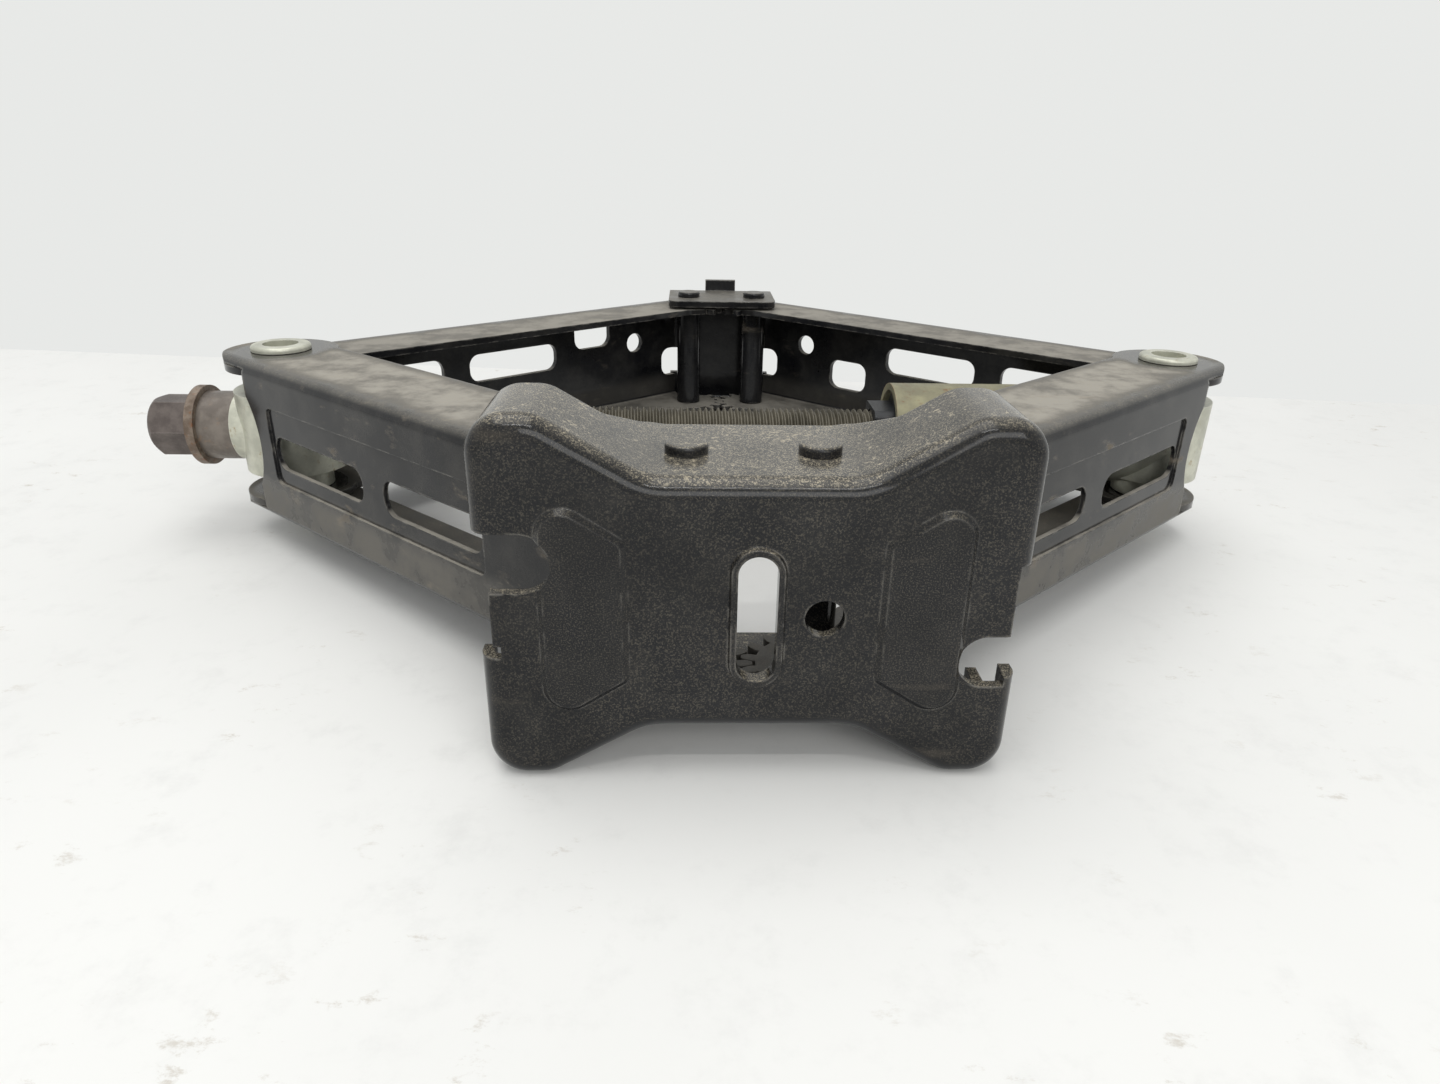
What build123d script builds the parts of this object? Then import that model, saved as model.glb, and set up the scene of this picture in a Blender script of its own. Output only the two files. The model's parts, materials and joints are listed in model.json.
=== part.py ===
from build123d import *
import os
from math import acos, cos, hypot, pi, radians, sin, tan

# A scissor jack lying on its side, in millimetres and degrees.
# X runs along the lead screw from the drive hex (-X) to the nut (+X).
# Y is the lift direction, from the foot to the saddle.
# Z is the direction of the pivot pins. The origin is the centre of the foot's ground face.

# Linkage
ARM_LENGTH = 166.4  # pivot to pivot
PIN_SPACING = 27.4  # between the two pivots of one bracket
REST_ANGLE = 41.0  # of every arm to the screw, in the modelled pose
CLOSED_ANGLE = 9.0  # of every arm to the screw, fully lowered

# Meshing gear ends of the arms
GEAR_TEETH = 16  # in a full circle
GEAR_PRESSURE_ANGLE = 20.0
GEAR_ADDENDUM = 0.8  # in modules
GEAR_DEDENDUM = 1.15  # in modules
GEAR_BACKLASH = 0.3  # along the pitch circle
GEAR_TOOTH_PAIRS = 2  # teeth on each side of the middle one

# Sheet metal
FOOT_SHEET = 2.5
ARM_SHEET = 2.2
SADDLE_SHEET = 2.5
BEND_RADIUS = 3.6  # outside radius of the arms' and the saddle's bends

# Stack of nested channels across Z, from the inside out
UPPER_INNER_HALF = 19.6  # half of the gap inside the upper arms
SIDE_CLEARANCE = 0.25  # between the arms' channels
BRACKET_CLEARANCE = 1.0  # from the arms to the foot and to the saddle

# Arms: how far the flanges reach from the pivot line
LOWER_INSIDE_REACH = 13.4
LOWER_WEB_OFFSET = 16.5
UPPER_INSIDE_REACH = 9.5
UPPER_WEB_OFFSET = 17.5
TRUNNION_EAR_RADIUS = 16.5
EAR_CLEARANCE = 0.5  # of the lower arm's web round the upper arm's ear
ARM_SHOULDER = 8.0  # where the flange reaches its full depth beside the gear end
LOWER_WEB_START = 22.0  # from the pin, on the mid-plane
LOWER_WEB_END_RADIUS = 26.0  # of the hollow curve at the pin end of the lower webs
UPPER_WEB_START = -5.0  # from the pin; the upper webs run on past it
UPPER_WEB_NOTCH = (2.6, -11.0, 1.0)  # how far from the pin, and its stretch of z
WEB_STOP = 11.5  # from the trunnion, on the mid-plane
WEB_STOP_RADIUS = 24.5  # of the hollow curve at the trunnion end of the web
PANEL_DEPTH = 0.8  # of the pressed panel around the slots
PANEL_HALF_HEIGHT = 11.5
PANEL_RISE = 1.0  # above the arm's middle
PANEL_MARGIN = 1.2  # beyond the slots, lengthwise
PANEL_CORNER = 2.5
LOWER_SLOTS = ((50.0, 91.0), (101.0, 147.0))  # start and end from the pin
LOWER_SLOT_HEIGHT = 10.0
LOWER_SLOT_RISE = -0.8  # of the slots above the arm's middle
UPPER_SLOTS = ((57.0, 95.5), (106.0, 141.0))
UPPER_SLOT_HEIGHT = 10.5
SLOT_CORNER = 4.2
UPPER_SLOT_RISE = 5.0  # of the slots above the arm's middle
UPPER_HOLE_PLACE = (17.5, 5.5)  # from the pin, above the middle
UPPER_HOLE_RADIUS = 4.0
WINDOW_WIDTH = 17.5  # of the extra opening between hole and slots
WINDOW_HEIGHT = 12.0
WINDOW_START = 30.5
WINDOW_RISE = {-1: 12.0, 1: -4.5}  # above the middle, on the left and the right arm

# Foot
FOOT_HALF_WIDTH = 55.2
FOOT_WING_HALF = 39.8  # half height of the wings
FOOT_WAIST_MARGIN = 7.8  # of the waist past the pins, to where the wings start to flare
FOOT_WING_START = 42.0  # where a wing reaches its full height
FOOT_WAIST_CORNER = 14.0
FOOT_WING_CORNER = 8.0
FOOT_BEND = 4.2  # outside radius
FOOT_PAD_HEIGHT = 1.2  # of the pressed pads over the main face
FOOT_FLANGE_DEPTH = 39.2  # of the flanges beside the pins, from the ground face
FOOT_WING_DEPTH = 27.0  # of the flanges at the wings
FOOT_SLOPE = 0.8  # of the flanges' edges between those depths, width over depth
FOOT_FLANGE_CORNER = 3.0
FOOT_SIDE_DEPTH = 7.5  # of the short side walls
FOOT_PAD_START = 25.0
FOOT_PAD_END = 42.8
FOOT_PAD_HALF_HEIGHTS = (15.5, 27.0)  # at the waist side and at the wing side
FOOT_PAD_CORNERS = (2.0, 5.5)
FOOT_PAD_DRAFT = 45.0
FOOT_SLOT = (28.0, 8.0)
FOOT_SLOT_CENTRE = (0.5, -1.0)
FOOT_SLOT_RIM = 1.7
FOOT_SLOT_RIM_DRAFT = 20.0
FOOT_HOLE_RADIUS = 4.0
FOOT_HOLE_CENTRE = (14.1, -1.0)
FOOT_NOTCHES = ((-46.0, 10.5, 6.3), (48.0, -11.0, 5.9))  # x, z and radius
FOOT_SIDE_WINDOWS = {-1: (-10.0, 16.8), 1: (-15.0, 10.5)}  # z stretch without side wall
FOOT_EDGE_INSET = 3.0  # of the plain side edges
FOOT_SLIT = (4.6, -10.4, -7.6)  # depth from the left side, and z stretch

# Saddle
SADDLE_HALF_WIDTH = 22.0
SADDLE_FLANGE_REACH = 12.5  # of the flanges past the pin line, towards the foot
SADDLE_CORNER = 4.0
SADDLE_LUG = (13.0, 29.6)  # width, and height above the mid-plane
SADDLE_NOTCH = (18.3, -11.0, 0.0)  # how far from the middle, and its stretch of z
SADDLE_GROOVE = (30.0, 8.0)  # pressed, for a sill's seam
SADDLE_GROOVE_DEPTH = 1.2

# Pins and their spacer tubes
PIN_RADIUS = 3.8
PIN_HEAD_RADIUS = 4.5
PIN_HEAD_HEIGHT = 2.2
PIN_HEAD_ROUND = 0.8
FOOT_SPACER_RADIUS = 5.6
SADDLE_SPACER_RADIUS = 4.9
RUNNING_FIT = 0.05  # radial clearance of every turning shaft

# Trunnions
BARREL_RADIUS = 15.5
BARREL_HALF_HEIGHT = 12.5
SHOULDER_RADIUS = 9.5
JOURNAL_RADIUS = 7.0
RIM_RADIUS = 8.7
RIM_HEIGHT = 1.8
RIM_GAP = 0.15  # between the rolled rim and the arm
RIM_HOLLOW_RADIUS = 5.2
RIM_HOLLOW_DEPTH = 4.0

# Lead screw and drive end
SCREW_RADIUS = 7.0
JOURNAL_STEP = 1.0  # from the thread's outside down to the plain journal
SCREW_THREAD_GAP = 0.3  # from the drive trunnion to the first thread
BOSS_RADIUS = 10.7
BOSS_REACH = 15.6  # of the trunnion's boss from its axis
SLEEVE_LENGTH = 10.0
SLEEVE_WALL = 1.6
RACE_THICKNESS = 2.2  # of the inner race
RACE_GAP = 0.3  # between the outer race and the sleeve
BALL_RADIUS = 1.4
BALL_COUNT = 12
BALL_GAP = 0.05
THRUST_RING_RADIUS = 12.5
THRUST_RING_THICKNESS = 2.7
HEX_NECK_LENGTH = 0.8
HEX_NECK_RADIUS = 7.6
HEX_LENGTH = 12.4
HEX_FLATS = 17.0
HEX_END_CHAMFER = 1.6
ASSEMBLY_FIT = 0.02  # radial clearance of pressed pieces

# Nut end
NUT_TUBE_WALL = 2.2
NUT_TUBE_REACH = 88.0  # of the tube's mouth from the trunnion axis
NUT_SOCKET_REACH = 20.0  # of the trunnion's socket
NUT_SIZE = 17.0  # across flats
NUT_CORNER = 2.5
NUT_LENGTH = 20.0
NUT_PROTRUSION = 6.0  # out of the tube
NUT_FLANGE = 5.0
NUT_FLANGE_INSET = 2.0
NUT_FIT = 0.12  # radial clearance over the screw
STOP_LIP = 1.2  # of the stop past the thread
STOP_THICKNESS = 3.0
STOP_SPIGOT_RADIUS = 4.5
STOP_GAP = 0.5  # to the nut, fully lowered
STOP_PASSAGE = 0.4  # radial clearance through the nut trunnion

# Sizes that follow from the ones above
PITCH_RADIUS = PIN_SPACING / 2
MODULE = PIN_SPACING / GEAR_TEETH
TIP_RADIUS = PITCH_RADIUS + GEAR_ADDENDUM * MODULE
ROOT_RADIUS = PITCH_RADIUS - GEAR_DEDENDUM * MODULE
FOOT_TIP_CLEARANCE = 0.6
SADDLE_WEB_CLEARANCE = 0.4  # round the swing of the upper webs
UPPER_HALF = UPPER_INNER_HALF + ARM_SHEET
LOWER_INNER_HALF = UPPER_HALF + SIDE_CLEARANCE
LOWER_HALF = LOWER_INNER_HALF + ARM_SHEET
FOOT_INNER_HALF = LOWER_HALF + BRACKET_CLEARANCE
FOOT_WAIST_HALF = FOOT_INNER_HALF + FOOT_SHEET
SADDLE_INNER_HALF = UPPER_HALF + BRACKET_CLEARANCE
SADDLE_HALF = SADDLE_INNER_HALF + SADDLE_SHEET
FOOT_FACE = FOOT_PAD_HEIGHT  # place of the main face
FOOT_PIVOT = FOOT_FACE + FOOT_SHEET + FOOT_TIP_CLEARANCE + TIP_RADIUS
UPPER_WEB_SWING = hypot(UPPER_WEB_OFFSET, UPPER_WEB_START)
SADDLE_WEB_OFFSET = UPPER_WEB_SWING + SADDLE_WEB_CLEARANCE + SADDLE_SHEET
ARM_RISE = ARM_LENGTH * sin(radians(REST_ANGLE))
FOOT_WAIST_HALF_WIDTH = PIN_SPACING / 2 + FOOT_WAIST_MARGIN
TRUNNION_X = PIN_SPACING / 2 + ARM_LENGTH * cos(radians(REST_ANGLE))
CLOSED_SEPARATION = PIN_SPACING + 2 * ARM_LENGTH * cos(radians(CLOSED_ANGLE))
SCREW_Y = FOOT_PIVOT + ARM_RISE
SADDLE_PIVOT = FOOT_PIVOT + 2 * ARM_RISE
SCREW_JOURNAL_RADIUS = SCREW_RADIUS - JOURNAL_STEP
STOP_RADIUS = SCREW_RADIUS + STOP_LIP
NUT_FLANGE_RADIUS = BARREL_RADIUS - NUT_TUBE_WALL - ASSEMBLY_FIT
LEFT, RIGHT = -1, 1


def slab(outline, near, far):
    """An outline drawn in X and Z, extruded along Y from near to far."""
    return extrude(Plane.XZ.offset(-near) * outline, amount=near - far)


def plate(outline, low, high):
    """An outline drawn in X and Y, extruded along Z from low to high."""
    return extrude(Pos(0, 0, low) * outline, amount=high - low)


def rod(radius, start, end):
    """A round bar on the X axis."""
    return extrude(Plane.YZ.offset(start) * Circle(radius), amount=end - start)


def ring(outer, inner, start, end):
    """A round ring on the X axis."""
    return extrude(Plane.YZ.offset(start) * (Circle(outer) - Circle(inner)), amount=end - start)


def post(radius, low, high, x=0.0, y=0.0):
    """A round bar along Z."""
    return plate(Pos(x, y) * Circle(radius), low, high)


def rounded_box(x_low, x_high, y_low, y_high, corner):
    """A rectangle with rounded corners, as an outline."""
    middle = Pos((x_low + x_high) / 2, (y_low + y_high) / 2)
    return middle * RectangleRounded(x_high - x_low, y_high - y_low, corner)


def box(x_low, x_high, y_low, y_high):
    """A plain rectangle, as an outline."""
    middle = Pos((x_low + x_high) / 2, (y_low + y_high) / 2)
    return middle * Rectangle(x_high - x_low, y_high - y_low)


# Gear ends


def involute(angle):
    return tan(angle) - angle


def tooth_half_angle(radius):
    """Half the angle that an involute tooth fills at a radius, in radians."""
    base = PITCH_RADIUS * cos(radians(GEAR_PRESSURE_ANGLE))
    at_pitch = pi / (2 * GEAR_TEETH) - GEAR_BACKLASH / (2 * PIN_SPACING)
    here = acos(min(1.0, base / radius))
    return at_pitch + involute(radians(GEAR_PRESSURE_ANGLE)) - involute(here)


def polar(radius, angle):
    return (radius * cos(angle), radius * sin(angle))


def gear_tooth(direction):
    """One tooth, as an outline that starts inside the root circle."""
    base = PITCH_RADIUS * cos(radians(GEAR_PRESSURE_ANGLE))
    middle_radius = (base + TIP_RADIUS) / 2
    foot, mid, tip = (tooth_half_angle(r) for r in (base, middle_radius, TIP_RADIUS))
    inside = ROOT_RADIUS - MODULE
    low = ThreePointArc(
        polar(base, direction - foot),
        polar(middle_radius, direction - mid),
        polar(TIP_RADIUS, direction - tip),
    )
    high = ThreePointArc(
        polar(TIP_RADIUS, direction + tip),
        polar(middle_radius, direction + mid),
        polar(base, direction + foot),
    )
    top = ThreePointArc(low @ 1, polar(TIP_RADIUS, direction), high @ 0)
    sides = Polyline(high @ 1, polar(inside, direction + foot), polar(inside, direction - foot), low @ 0)
    return make_face([low, top, high, *sides.edges()])


def gear_end(half_step):
    """Root disc and teeth. A half step turns the teeth by half a pitch, to mesh with a plain one."""
    meeting = radians(REST_ANGLE - 180)
    pitch = 2 * pi / GEAR_TEETH
    outline = Sketch() + Circle(ROOT_RADIUS)
    for number in range(-GEAR_TOOTH_PAIRS - half_step, GEAR_TOOTH_PAIRS + 1):
        outline += gear_tooth(meeting + (number + half_step / 2) * pitch)
    return outline


# Arms: drawn with the pin at the origin, the trunnion on +X and the web on the +Y side


def flange_outline(inside_reach, web_offset, full_start, half_step):
    """A flange that has its full width from full_start on, with its gear end and its ear."""
    inside_root = ROOT_RADIUS * 0.85
    body = make_face(
        Polyline(
            (0, -inside_root),
            (ARM_SHOULDER, -inside_reach),
            (ARM_LENGTH, -inside_reach),
            (ARM_LENGTH, web_offset),
            (full_start, web_offset),
            (min(0, full_start), inside_root),
            close=True,
        )
    )
    ear = Pos(ARM_LENGTH, 0) * Circle(TRUNNION_EAR_RADIUS)
    beyond = box(ARM_LENGTH, ARM_LENGTH + TRUNNION_EAR_RADIUS, -web_offset, web_offset)
    return gear_end(half_step) + (body - beyond) + ear


def channel(half, sheet, web_offset, start, end):
    """A U section along X, with its web on the +Y side."""
    reach = 2 * TRUNNION_EAR_RADIUS
    outside = FilletPolyline(
        (-reach, -half), (web_offset, -half), (web_offset, half), (-reach, half),
        radius=BEND_RADIUS, close=True,
    )
    inside_web, inside_half = web_offset - sheet, half - sheet
    inside = FilletPolyline(
        (-2 * reach, -inside_half), (inside_web, -inside_half),
        (inside_web, inside_half), (-2 * reach, inside_half),
        radius=BEND_RADIUS - sheet, close=True,
    )
    section = make_face(outside) - make_face(inside)
    return extrude(Plane.YZ.offset(start) * section, amount=end - start)


def hollow_end(middle, radius, half, web_offset):
    """What is cut from an end of a web: a hollow curve that starts at middle, and all beyond it."""
    away = 1 if radius > 0 else -1
    centre = middle + radius
    curve = Pos(centre, 0) * Circle(abs(radius))
    beyond = box(*sorted((centre, centre + away * ARM_LENGTH)), -half, half)
    gap = box(-2 * ARM_LENGTH, 3 * ARM_LENGTH, ARM_SHEET - half, half - ARM_SHEET)
    return slab((curve + beyond) & gap, web_offset - BEND_RADIUS, web_offset + 1)


def web_slots(slots, height, rise, web_offset):
    outline = Sketch()
    for start, end in slots:
        outline += rounded_box(start, end, rise - height / 2, rise + height / 2, SLOT_CORNER)
    return slab(outline, web_offset - BEND_RADIUS, web_offset + 1)


def web_panel(slots, rise, web_offset):
    outline = rounded_box(
        slots[0][0] - PANEL_MARGIN, slots[-1][1] + PANEL_MARGIN,
        rise - PANEL_HALF_HEIGHT, rise + PANEL_HALF_HEIGHT, PANEL_CORNER,
    )
    return slab(outline, web_offset - PANEL_DEPTH, web_offset + 1)


def arm(half, inside_reach, web_offset, full_start, half_step):
    """A channel with a gear end, a web that stops short of the trunnion, and its pivot holes."""
    outline = flange_outline(inside_reach, web_offset, full_start, half_step)
    start, end = -TIP_RADIUS - 1, ARM_LENGTH + TRUNNION_EAR_RADIUS + 1
    shape = channel(half, ARM_SHEET, web_offset, start, end) & plate(outline, -half, half)
    shape -= hollow_end(ARM_LENGTH - WEB_STOP, WEB_STOP_RADIUS, half, web_offset)
    shape -= post(PIN_RADIUS + RUNNING_FIT, -half, half)
    return shape - post(JOURNAL_RADIUS + RUNNING_FIT, -half, half, ARM_LENGTH)


def lower_arm(side):
    full_start = LOWER_WEB_START - ARM_SHOULDER
    half_step = 1 if side == RIGHT else 0
    shape = arm(LOWER_HALF, LOWER_INSIDE_REACH, LOWER_WEB_OFFSET, full_start, half_step)
    shape -= hollow_end(LOWER_WEB_START, -LOWER_WEB_END_RADIUS, LOWER_HALF, LOWER_WEB_OFFSET)
    sweep_radius = max(TRUNNION_EAR_RADIUS, UPPER_WEB_OFFSET) + EAR_CLEARANCE
    shape -= post(sweep_radius, -LOWER_INNER_HALF, LOWER_INNER_HALF, ARM_LENGTH)
    up = -1 if side == RIGHT else 1  # the right arm is turned over, so its cuts are drawn upside down
    shape -= web_panel(LOWER_SLOTS, up * PANEL_RISE, LOWER_WEB_OFFSET)
    shape -= web_slots(LOWER_SLOTS, LOWER_SLOT_HEIGHT, up * LOWER_SLOT_RISE, LOWER_WEB_OFFSET)
    turn = Rot(0, 0, REST_ANGLE) * Rot(180, 0, 0) if side == RIGHT else Rot(0, 0, 180 - REST_ANGLE)
    return Pos(side * PIN_SPACING / 2, FOOT_PIVOT, 0) * turn * shape


def upper_arm(side):
    half_step = 1 if side == RIGHT else 0
    shape = arm(UPPER_HALF, UPPER_INSIDE_REACH, UPPER_WEB_OFFSET, UPPER_WEB_START, half_step)
    up = 1 if side == RIGHT else -1  # the left arm is turned over, so its cuts are drawn upside down
    shape -= web_slots(UPPER_SLOTS, UPPER_SLOT_HEIGHT, up * UPPER_SLOT_RISE, UPPER_WEB_OFFSET)
    window_rise = up * WINDOW_RISE[side]
    extra = Pos(UPPER_HOLE_PLACE[0], up * UPPER_HOLE_PLACE[1]) * Circle(UPPER_HOLE_RADIUS)
    extra += rounded_box(
        WINDOW_START, WINDOW_START + WINDOW_WIDTH,
        window_rise - WINDOW_HEIGHT / 2, window_rise + WINDOW_HEIGHT / 2, SLOT_CORNER,
    )
    reach, low, high = UPPER_WEB_NOTCH
    extra += rounded_box(2 * UPPER_WEB_START - reach, reach, *sorted((up * low, up * high)), SLOT_CORNER)
    shape -= slab(extra, UPPER_WEB_OFFSET - BEND_RADIUS, UPPER_WEB_OFFSET + 1)
    turn = Rot(0, 0, -REST_ANGLE) if side == RIGHT else Rot(0, 0, 180 + REST_ANGLE) * Rot(180, 0, 0)
    return Pos(side * PIN_SPACING / 2, SADDLE_PIVOT, 0) * turn * shape


# Foot


def foot_outline():
    """The butterfly outline in X and Z: a straight waist between four flared wings."""
    quarter = [
        (FOOT_WAIST_HALF_WIDTH, FOOT_WAIST_HALF, FOOT_WAIST_CORNER),
        (FOOT_WING_START, FOOT_WING_HALF, FOOT_WING_CORNER),
        (FOOT_HALF_WIDTH, FOOT_WING_HALF, FOOT_WING_CORNER),
    ]
    top = [(-x, z, r) for x, z, r in reversed(quarter)] + quarter
    bottom = [(x, -z, r) for x, z, r in reversed(top)]
    corners = top + bottom
    path = FilletPolyline(*[(x, z) for x, z, r in corners], radius=[r for x, z, r in corners], close=True)
    return make_face(path)


def foot_shell():
    """The pressed dish: outer form less inner form, with rounded bends."""
    outline = foot_outline()
    outer = slab(outline, FOOT_FACE, FOOT_FLANGE_DEPTH)
    outer = fillet(outer.edges().group_by(Axis.Y)[0], FOOT_BEND)
    inner = slab(offset(outline, -FOOT_SHEET), FOOT_FACE + FOOT_SHEET, FOOT_FLANGE_DEPTH + 1)
    inner = fillet(inner.edges().group_by(Axis.Y)[0], FOOT_BEND - FOOT_SHEET)
    return outer - inner


def foot_flange_limits():
    """What stays of the flanges: deep beside the pins, shallow at the wings."""
    wide = FOOT_HALF_WIDTH + 1
    slope_end = FOOT_WAIST_HALF_WIDTH + (FOOT_FLANGE_DEPTH - FOOT_WING_DEPTH) * FOOT_SLOPE
    right = [
        (FOOT_WAIST_HALF_WIDTH, FOOT_FLANGE_DEPTH),
        (slope_end, FOOT_WING_DEPTH),
        (wide, FOOT_WING_DEPTH),
        (wide, -1),
    ]
    left = [(-x, y) for x, y in reversed(right)]
    outline = make_face(Polyline(*right, *left, close=True))
    limits = plate(outline, -FOOT_WING_HALF - 1, FOOT_WING_HALF + 1)
    upright = limits.edges().filter_by(Axis.Z)
    slope_edges = [edge for edge in upright if abs(edge.center().X) < wide - 1]
    return fillet(slope_edges, FOOT_FLANGE_CORNER)


def foot_pad():
    """A pressed pad's outline on the right wing."""
    narrow, wide = FOOT_PAD_HALF_HEIGHTS
    inner, outer = FOOT_PAD_CORNERS
    points = [
        (FOOT_PAD_START, narrow), (FOOT_PAD_END, wide),
        (FOOT_PAD_END, -wide), (FOOT_PAD_START, -narrow),
    ]
    return make_face(FilletPolyline(*points, radius=[inner, outer, outer, inner], close=True))


def raised(outline, base, height, draft):
    """A pressed form that rises towards -Y with sloping sides."""
    return extrude(Plane.XZ.offset(-base) * outline, amount=height, taper=draft)


def foot_side_openings():
    """Plain side edges, notches and the hooked slit in them."""
    cut = Part()
    far = FOOT_HALF_WIDTH + 2
    edge = FOOT_HALF_WIDTH - FOOT_EDGE_INSET
    for side, (low, high) in FOOT_SIDE_WINDOWS.items():
        cut += slab(box(*sorted((side * edge, side * far)), low, high), -1, FOOT_FLANGE_DEPTH)
    for x, z, radius in FOOT_NOTCHES:
        side = 1 if x > 0 else -1
        mouth = box(*sorted((x, side * edge)), z - radius, z + radius)
        cut += slab(mouth + Pos(x, z) * Circle(radius), -1, FOOT_FLANGE_DEPTH)
    depth, low, high = FOOT_SLIT
    cut += slab(box(-far, depth - FOOT_HALF_WIDTH, low, high), -1, FOOT_FLANGE_DEPTH)
    for side in (LEFT, RIGHT):
        inner = side * (FOOT_HALF_WIDTH - FOOT_BEND - 1)
        wall = box(*sorted((inner, side * far)), -FOOT_WAIST_HALF, FOOT_WAIST_HALF)
        cut += slab(wall, FOOT_SIDE_DEPTH, FOOT_FLANGE_DEPTH + 1)
    return cut


def foot_plate():
    shape = foot_shell() & foot_flange_limits()
    inside = FOOT_FACE + FOOT_SHEET
    for side in (LEFT, RIGHT):
        pad = foot_pad() if side == RIGHT else mirror(foot_pad(), Plane.YZ)
        shape += raised(pad, FOOT_FACE, FOOT_PAD_HEIGHT, FOOT_PAD_DRAFT)
        shape -= raised(offset(pad, -FOOT_PAD_HEIGHT), inside, FOOT_PAD_HEIGHT, FOOT_PAD_DRAFT)
    length, width = FOOT_SLOT
    rim = SlotOverall(length + 2 * FOOT_SLOT_RIM, width + 2 * FOOT_SLOT_RIM, rotation=90)
    shape += raised(Pos(*FOOT_SLOT_CENTRE) * rim, FOOT_FACE, FOOT_PAD_HEIGHT, FOOT_SLOT_RIM_DRAFT)
    shape -= slab(Pos(*FOOT_SLOT_CENTRE) * SlotOverall(length, width, rotation=90), -1, inside + 1)
    shape -= slab(Pos(*FOOT_HOLE_CENTRE) * Circle(FOOT_HOLE_RADIUS), -1, inside + 1)
    shape -= foot_side_openings()
    for side in (LEFT, RIGHT):
        hole = post(PIN_RADIUS + ASSEMBLY_FIT, -FOOT_WAIST_HALF, FOOT_WAIST_HALF)
        shape -= Pos(side * PIN_SPACING / 2, FOOT_PIVOT, 0) * hole
    return shape


# Saddle


def saddle_bracket():
    """A short channel over the upper arms, with two lugs, side notches and a groove for a sill's seam."""
    shape = channel(SADDLE_HALF, SADDLE_SHEET, SADDLE_WEB_OFFSET, -SADDLE_HALF_WIDTH, SADDLE_HALF_WIDTH)
    outline = rounded_box(
        -SADDLE_HALF_WIDTH, SADDLE_HALF_WIDTH, -SADDLE_FLANGE_REACH, SADDLE_WEB_OFFSET, SADDLE_CORNER
    )
    whole_web = box(-SADDLE_HALF_WIDTH, SADDLE_HALF_WIDTH, 0, SADDLE_WEB_OFFSET)
    shape &= plate(outline + whole_web, -SADDLE_HALF, SADDLE_HALF)
    width, height = SADDLE_LUG
    lug = box(-width / 2, width / 2, -height, height)
    shape += slab(lug, SADDLE_WEB_OFFSET - SADDLE_SHEET, SADDLE_WEB_OFFSET)
    groove = SlotOverall(*SADDLE_GROOVE)
    shape -= slab(groove, SADDLE_WEB_OFFSET - SADDLE_GROOVE_DEPTH, SADDLE_WEB_OFFSET + 1)
    reach, low, high = SADDLE_NOTCH
    for side in (LEFT, RIGHT):
        notch = box(*sorted((side * reach, side * 2 * SADDLE_HALF_WIDTH)), low, high)
        shape -= slab(notch, 0, SADDLE_WEB_OFFSET + 1)
        shape -= post(PIN_RADIUS + ASSEMBLY_FIT, -SADDLE_HALF, SADDLE_HALF, side * PIN_SPACING / 2)
    return Pos(0, SADDLE_PIVOT, 0) * shape


# Pins and spacers


def pin(side, y, half):
    """A riveted pin with a round-edged head on each end."""
    shape = post(PIN_RADIUS, -half, half)
    for end in (-1, 1):
        head = post(PIN_HEAD_RADIUS, 0, PIN_HEAD_HEIGHT)
        head = fillet(head.edges().group_by(Axis.Z)[-1], PIN_HEAD_ROUND)
        shape += Rot(0 if end > 0 else 180, 0, 0) * Pos(0, 0, half) * head
    return Pos(side * PIN_SPACING / 2, y, 0) * shape


def spacer(side, y, radius, inner_half):
    """A tube round a pin that keeps an arm's flanges apart."""
    half = inner_half - SIDE_CLEARANCE
    outline = Circle(radius) - Circle(PIN_RADIUS + ASSEMBLY_FIT)
    return Pos(side * PIN_SPACING / 2, y, 0) * plate(outline, -half, half)


# Trunnions


def trunnion_body():
    """Barrel, shoulders, journals and rolled rims, round the Z axis."""
    shape = post(BARREL_RADIUS, -BARREL_HALF_HEIGHT, BARREL_HALF_HEIGHT)
    shoulder = UPPER_INNER_HALF - SIDE_CLEARANCE
    rim_base = LOWER_HALF + RIM_GAP
    shape += post(SHOULDER_RADIUS, -shoulder, shoulder)
    shape += post(JOURNAL_RADIUS, -rim_base, rim_base)
    for end in (0, 180):
        rim = post(RIM_RADIUS, rim_base, rim_base + RIM_HEIGHT)
        rim = fillet(rim.edges().group_by(Axis.Z)[-1], RIM_HEIGHT * 0.6)
        top = rim_base + RIM_HEIGHT
        shape += Rot(end, 0, 0) * rim
        shape -= Rot(end, 0, 0) * post(RIM_HOLLOW_RADIUS, top - RIM_HOLLOW_DEPTH, top)
    return shape


def drive_trunnion():
    shape = trunnion_body() + rod(BOSS_RADIUS, -BOSS_REACH, 0)
    bore = SCREW_JOURNAL_RADIUS + RUNNING_FIT
    shape -= rod(bore, -BOSS_REACH - 1, BARREL_RADIUS + 1)
    return Pos(-TRUNNION_X, SCREW_Y, 0) * shape


def nut_trunnion():
    shape = trunnion_body() + rod(BARREL_RADIUS, -NUT_SOCKET_REACH, 0)
    shape -= rod(STOP_RADIUS + STOP_PASSAGE, -NUT_SOCKET_REACH - 1, BARREL_RADIUS + 1)
    return Pos(TRUNNION_X, SCREW_Y, 0) * shape


def nut_sleeve():
    tube = ring(BARREL_RADIUS, BARREL_RADIUS - NUT_TUBE_WALL, -NUT_TUBE_REACH, -NUT_SOCKET_REACH)
    return Pos(TRUNNION_X, SCREW_Y, 0) * tube


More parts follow.
